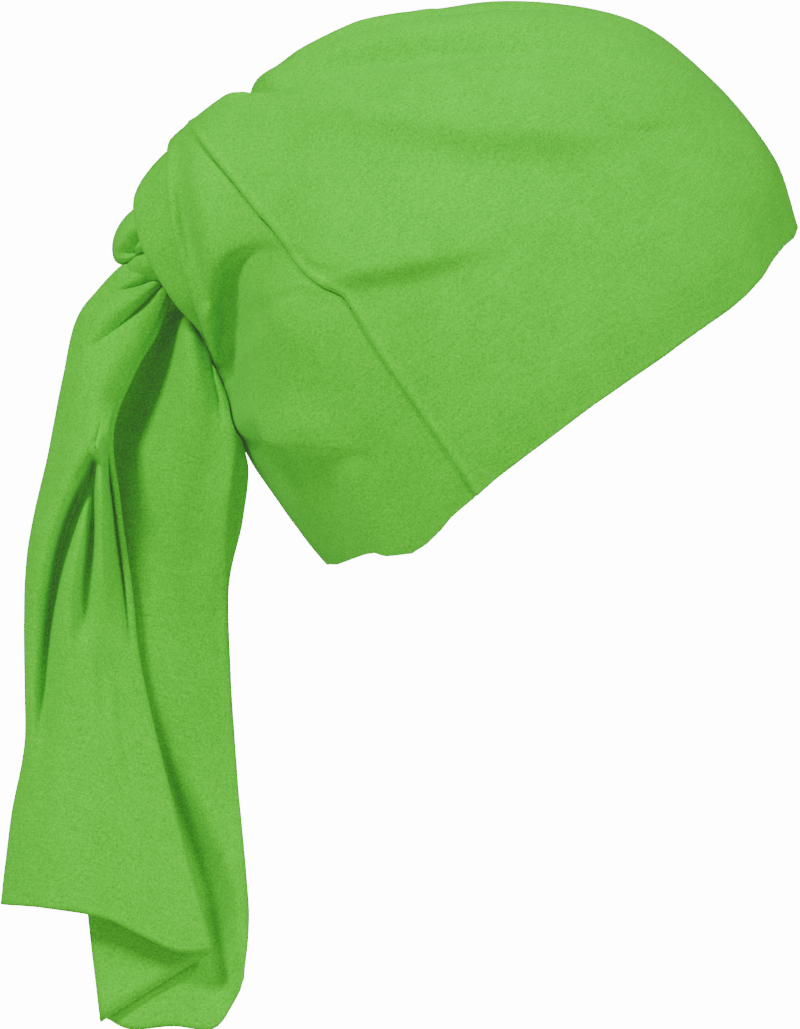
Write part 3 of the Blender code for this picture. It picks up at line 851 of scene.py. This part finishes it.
    def grid(self) -> np.ndarray:
        """Works out the middle of the tail's cloth, with its folds.

        Returns:
            Rings of points from the hem up to the knot.
        """
        rows = smooth_rows(np.array(self.sections), [section.steps for section in self.sections])
        steps = [point.steps for point in self.ring_points]
        span = np.array([self.width, self.drop])
        rings = []
        for hem, values in zip(np.linspace(0, 1, len(rows)) ** 2, rows):
            row = TailSection(*values)
            corners = []
            for point in self.ring_points:
                start = np.array([getattr(row, f"{point.start}_{axis}") for axis in "xz"])
                end = np.array([getattr(row, f"{point.end}_{axis}") for axis in "xz"])
                x, z = (start + (end - start) * point.share) * span
                depth = point.depth
                if point.start != "left":
                    depth += (self.pressed - depth) * row.press * (point.start != "right")
                y = (depth * row.depth - point.roll * row.roll) * self.depth
                if point.turn:
                    run = (end - start) * span
                    turn = point.turn * row.pleat * self.turn
                    x, z = (x, z) + run / np.linalg.norm(run) * turn
                    y += turn
                corners.append((x, y, z - point.sag * self.drop * hem))
            rings.append(smooth_rows(np.array(corners), steps, closed=True))
        grid = np.array(rings) + np.array(self.knot)
        points = self.ring_points
        near_end = sum(point.steps for point in points if point.start == "left" and point.share < 1)
        roll_start = sum(point.steps for point in points if point.start in ("left", "front"))
        roll_end = roll_start + sum(
            point.steps for point in points if point.start == "inner" and point.share < 1
        )
        side_view = grid[:, :, [0, 2]]
        near = self.window(grid.shape[1], 0, near_end, self.near_fade)
        roll = self.window(grid.shape[1], roll_start, roll_end, self.roll_fade)
        rise = total_rise(side_view, self.near_folds) * near
        rise += total_rise(side_view, self.roll_folds) * roll
        grid[:, :, 1] -= rise
        return grid[::-1]

    def window(self, count: int, start: int, end: int, soft: int) -> np.ndarray:
        """Weighs each place on the ring, 1 from start to end with soft ends of a number of places."""
        places = np.arange(count)
        rising = np.clip((places - start) / soft, 0, 1)
        falling = np.clip((end - places) / soft, 0, 1)
        return np.minimum(rising, falling)

    def mesh(self, crown: np.ndarray) -> bpy.types.Mesh:
        """Makes the tail's closed mesh, clear of the crown's rings of points."""
        return shell_mesh("tail_cloth", kept_clear(self.grid(), crown, self.clearance), self.wall)


# The knot


@dataclass
class Band:
    """The roll of cloth round the tail's root."""

    breadth: float = 0.055
    thickness: float = 0.0090
    tilt: float = 0.0020  # how far its front edge stands out beyond the middle
    roundness: float = 0.86  # 1 for an ellipse, less for a fuller cross-section
    steps: int = 22
    sides: int = 48
    points: tuple[tuple[float, ...], ...] = (
        # The rear edge's X and Z, the front edge's X and Z, how far out to the side, and thickness
        (-0.645, 0.352, -0.572, 0.45, 0, 0.75),
        (-0.648, 0.32, -0.574, 0.4, 0.62, 0.95),
        (-0.632, 0.25, -0.565, 0.305, 1, 1),
        (-0.59, 0.168, -0.545, 0.198, 1, 0.85),
        (-0.551, 0.112, -0.526, 0.133, 0.64, 0.65),
        (-0.53, 0.034, -0.51, 0.048, 0, 0.5),
    )

    def rings(self) -> np.ndarray:
        """Works out closed cross-sections along the band."""
        near = np.array(self.points) * (1, 1, 1, 1, -1, 1)
        far = near[-2:0:-1] * (1, 1, 1, 1, -1, 1)
        path = smooth_rows(np.concatenate([near, far]), [self.steps] * (len(near) * 2 - 2), True)
        size = np.array([LENGTH, HEIGHT])
        rear, front = path[:, 0:2] * size, path[:, 2:4] * size
        side = path[:, 4] * (self.breadth - self.thickness) / 2
        middles = np.stack([*((rear + front) / 2).T, side], axis=1)[:, [0, 2, 1]]
        across = np.stack([*((front - rear) / 2).T, path[:, 4] * self.tilt], axis=1)[:, [0, 2, 1]]
        tangents = np.roll(middles, -1, axis=0) - np.roll(middles, 1, axis=0)
        outward = np.cross(tangents, across)
        outward /= np.linalg.norm(outward, axis=1, keepdims=True)
        angles = np.linspace(0, 2 * math.pi, self.sides, endpoint=False)
        cosine, sine = np.cos(angles), np.sin(angles)
        wide = np.sign(cosine) * np.abs(cosine) ** self.roundness
        high = np.sign(sine) * np.abs(sine) ** self.roundness
        thick = (path[:, 5] * self.thickness / 2)[:, None, None] * outward[:, None, :]
        return middles[:, None] + wide[None, :, None] * across[:, None] + high[None, :, None] * thick

    def mesh(self) -> bpy.types.Mesh:
        """Makes the band's mesh."""
        rings = self.rings()
        data = MeshData()
        data.add_grid(rings, outward=True, joined=True)
        return data.mesh("band_cloth")


@dataclass
class Lobes:
    """The gathered cloth that bulges out behind the band."""

    length: float = 0.034
    breadth: float = 0.042
    height: float = 0.031
    place: tuple[float, float, float] = (-134.8, 0.0, 50.1)  # millimetres
    tilt: float = math.radians(-35)
    around: int = 200
    rows: int = 140
    folds: tuple[Fold, ...] = (
        Fold(((-136.5, 55.8), (-140.1, 55.1), (-144.2, 52.4), (-147.5, 47.4)), (-5, -7, -7.5, -6),
            (1.5, 1.6)),
        Fold(((-131.1, 46.1), (-136.1, 47.1), (-141.8, 46.7), (-145.8, 45.1), (-151.2, 40.7)),
            (-3, -4.2, -4.6, -4.2, -2.4), (1.8, 2.4), SHARP),
    )

    def mesh(self) -> bpy.types.Mesh:
        """Makes the lobes' closed mesh."""
        polar = np.linspace(0, math.pi, self.rows + 1)[1:-1]
        angles = np.linspace(0, 2 * math.pi, self.around, endpoint=False)
        x = np.sin(polar)[:, None] * np.cos(angles) * self.length / 2
        z = np.sin(polar)[:, None] * np.sin(angles) * self.height / 2
        y = np.cos(polar)[:, None] * np.ones(self.around) * self.breadth / 2
        turn_cos, turn_sin = math.cos(self.tilt), math.sin(self.tilt)
        grid = np.stack([x * turn_cos + z * turn_sin, y, z * turn_cos - x * turn_sin], axis=2)
        grid = facing_out(grid + np.array(self.place) * MM)
        rise = total_rise(grid[:, :, [0, 2]], self.folds)
        grid = grid + raw_normals(grid) * rise[:, :, None]
        data = MeshData()
        first = data.add_grid(grid, outward=True)
        data.add_cap(first, grid[0], outward=False)
        data.add_cap(first + (len(grid) - 1) * self.around, grid[-1], outward=True)
        return data.mesh("lobe_cloth")


# Studio


class Lamp(NamedTuple):
    """A square soft light."""

    name: str
    place: tuple[float, float, float]
    size: float
    power: float


def added(name: str, data: bpy.types.ID) -> bpy.types.Object:
    """Adds an object to the scene."""
    new = bpy.data.objects.new(name, data)
    bpy.context.scene.collection.objects.link(new)
    return new


@dataclass
class Studio:
    """The pale floor, the soft lights and the camera."""

    pixel_mm: float = 0.335
    image: tuple[int, int] = (800, 1029)
    middle: tuple[float, float] = (-54.7, -39.9)
    distance: float = 3.2
    floor: float = -0.36
    floor_half: float = 1.2
    ambient: float = 0.22
    backdrop: float = 14.0
    white: tuple[float, float, float, float] = (1.0, 1.0, 1.0, 1.0)
    pale: tuple[float, float, float, float] = (0.9, 0.9, 0.9, 1.0)
    lamps: tuple[Lamp, ...] = (
        Lamp("key", (-1.25, -1.45, 1.85), 0.5, 66.0),
        Lamp("side", (1.2, -1.10, 1.20), 0.7, 25.0),
    )

    def build(self) -> None:
        """Adds the floor, the lights and the camera."""
        self.add_floor()
        self.add_world()
        for lamp in self.lamps:
            self.add_light(lamp)
        self.add_camera()

    def add_floor(self) -> None:
        """Adds the plain pale floor."""
        mesh = bpy.data.meshes.new("floor")
        far = self.floor_half
        corners = [(x * far, y * far, self.floor) for x, y in ((-1, -1), (1, -1), (1, 1), (-1, 1))]
        mesh.from_pydata(corners, [], [(0, 1, 2, 3)])
        floor = added("floor", mesh)
        material = bpy.data.materials.new("pale_floor")
        material.use_nodes = True
        tree = NodeTree(material.node_tree)
        looks = {"Base Color": self.pale, "Roughness": 0.9}
        tree.end(tree.node("ShaderNodeBsdfPrincipled", values=looks))
        mesh.materials.append(material)

    def add_world(self) -> None:
        """Surrounds the wrap with soft white light."""
        world = bpy.data.worlds.new("studio")
        bpy.context.scene.world = world
        world.use_nodes = True
        tree = NodeTree(world.node_tree)
        seen = tree.node("ShaderNodeLightPath", output="Is Camera Ray")
        ends = {"Value": seen, "To Min": self.ambient, "To Max": self.backdrop}
        strength = tree.node("ShaderNodeMapRange", values=ends)
        light = tree.node("ShaderNodeBackground", values={"Color": self.white, "Strength": strength})
        tree.end(light, "ShaderNodeOutputWorld")

    def add_light(self, lamp: Lamp) -> None:
        """Adds a lamp that faces the wrap."""
        light = bpy.data.lights.new(lamp.name, "AREA")
        light.energy = lamp.power
        light.size = lamp.size
        stand = added(lamp.name, light)
        stand.location = lamp.place
        aim = Vector((self.middle[0] * MM, 0.0, self.middle[1] * MM)) - Vector(lamp.place)
        stand.rotation_euler = aim.to_track_quat("-Z", "Y").to_euler()

    def add_camera(self) -> None:
        """Adds the camera at the wearer's right side."""
        camera = bpy.data.cameras.new("camera")
        camera.sensor_fit = "HORIZONTAL"
        width = self.image[0] * self.pixel_mm * MM
        camera.angle = 2 * math.atan(width / 2 / self.distance)
        stand = added("camera", camera)
        stand.location = (self.middle[0] * MM, -self.distance, self.middle[1] * MM)
        stand.rotation_euler = (math.pi / 2, 0.0, 0.0)
        bpy.context.scene.camera = stand


# Soft ripples


@dataclass(frozen=True)
class Ripples:
    """Small uneven swells that soft cloth has everywhere, made by Geometry Nodes."""

    height: float = 0.0005
    scale: float = 55.0  # swells per metre
    seed: float = 7.0
    names: tuple[str, ...] = ("Height", "Scale", "Seed")

    def tree(self) -> bpy.types.GeometryNodeTree:
        """Builds the node tree.

        Returns:
            The tree, with inputs for the height, the scale, the seed and the material.
        """
        group = bpy.data.node_groups.new("soft_ripples", "GeometryNodeTree")
        kinds = {"Geometry": "Geometry", "Material": "Material"} | dict.fromkeys(self.names, "Float")
        for name, kind in kinds.items():
            group.interface.new_socket(name=name, in_out="INPUT", socket_type=f"NodeSocket{kind}")
        group.interface.new_socket(name="Geometry", in_out="OUTPUT", socket_type="NodeSocketGeometry")
        tree = NodeTree(group)
        sockets = group.nodes.new("NodeGroupInput").outputs
        given = {name: Value(tree, sockets[name]) for name in kinds}
        place = tree.node("GeometryNodeInputPosition")
        values = {"Vector": place, "W": given["Seed"], "Scale": given["Scale"], "Detail": 1.0}
        noise = tree.node("ShaderNodeTexNoise", {"noise_dimensions": "4D"}, values)
        height = (noise - 0.5) * given["Height"]
        normal = tree.node("GeometryNodeInputNormal")
        values = {0: normal, "Scale": height}
        offset = tree.node("ShaderNodeVectorMath", {"operation": "SCALE"}, values)
        values = {"Geometry": given["Geometry"], "Offset": offset}
        moved = tree.node("GeometryNodeSetPosition", values=values)
        whole = tree.node("GeometryNodeRealizeInstances", values=[moved])
        values = {"Geometry": whole, "Material": given["Material"]}
        tree.end(tree.node("GeometryNodeSetMaterial", values=values), "NodeGroupOutput")
        return group

    def apply(
        self, piece: bpy.types.Object, tree: bpy.types.GeometryNodeTree, finish: bpy.types.Material
    ) -> None:
        """Ripples a piece with this class's tree, gives it its material and leaves it a plain mesh."""
        modifier = piece.modifiers.new("ripples", "NODES")
        modifier.node_group = tree
        values = {"Height": self.height, "Scale": self.scale, "Seed": self.seed, "Material": finish}
        for socket in tree.interface.items_tree:
            if socket.in_out == "INPUT" and socket.name in values:
                modifier[socket.identifier] = values[socket.name]
        graph = bpy.context.evaluated_depsgraph_get()
        rippled = bpy.data.meshes.new_from_object(piece.evaluated_get(graph))
        piece.modifiers.remove(modifier)
        rippled.name = piece.data.name
        piece.data = rippled


# Assembly


@dataclass
class ClothPiece:
    """A dressed piece: its mesh, the solid it stands for, and how its cloth was cut."""

    name: str
    mesh: bpy.types.Mesh
    node: str
    flat: tuple[float, float]
    held: str
    rests_on: list[str] = field(default_factory=list)

    def add(
        self, finish: bpy.types.Material, ripples: Ripples, tree: bpy.types.GeometryNodeTree
    ) -> None:
        """Adds the piece to the scene, rippled and in its material."""
        piece = added(self.name, self.mesh)
        ripples.apply(piece, tree, finish)
        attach(piece, BODY)
        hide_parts(self.node)
        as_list(self.rests_on)
        count = sum(len(face.vertices) - 2 for face in piece.data.polygons)
        log.info("%s: %d triangles, for %s", self.name, count, self.node)


def main() -> None:
    """Builds the pieces in order."""
    logging.basicConfig(level=logging.INFO, format="%(message)s")
    knit = KnitFinish().material()
    crown = Crown()
    pieces = (
        ClothPiece("crown_cloth", crown.mesh(), "crown", (0.40, 0.22), "stretched"),
        ClothPiece("band_cloth", Band().mesh(), "knot_band", (0.022, 0.135), "gathered", ["crown_cloth"]),
        ClothPiece("lobe_cloth", Lobes().mesh(), "knot_core", (0.05, 0.03), "gathered", ["band_cloth"]),
        ClothPiece("tail_cloth", Tail().mesh(crown.grid()), "tail", (0.19, 0.24), "hung", ["band_cloth"]),
    )
    ripples = Ripples()
    tree = ripples.tree()
    for piece in pieces:
        piece.add(knit, ripples, tree)
    Studio().build()


if __name__ == "__main__":
    main()
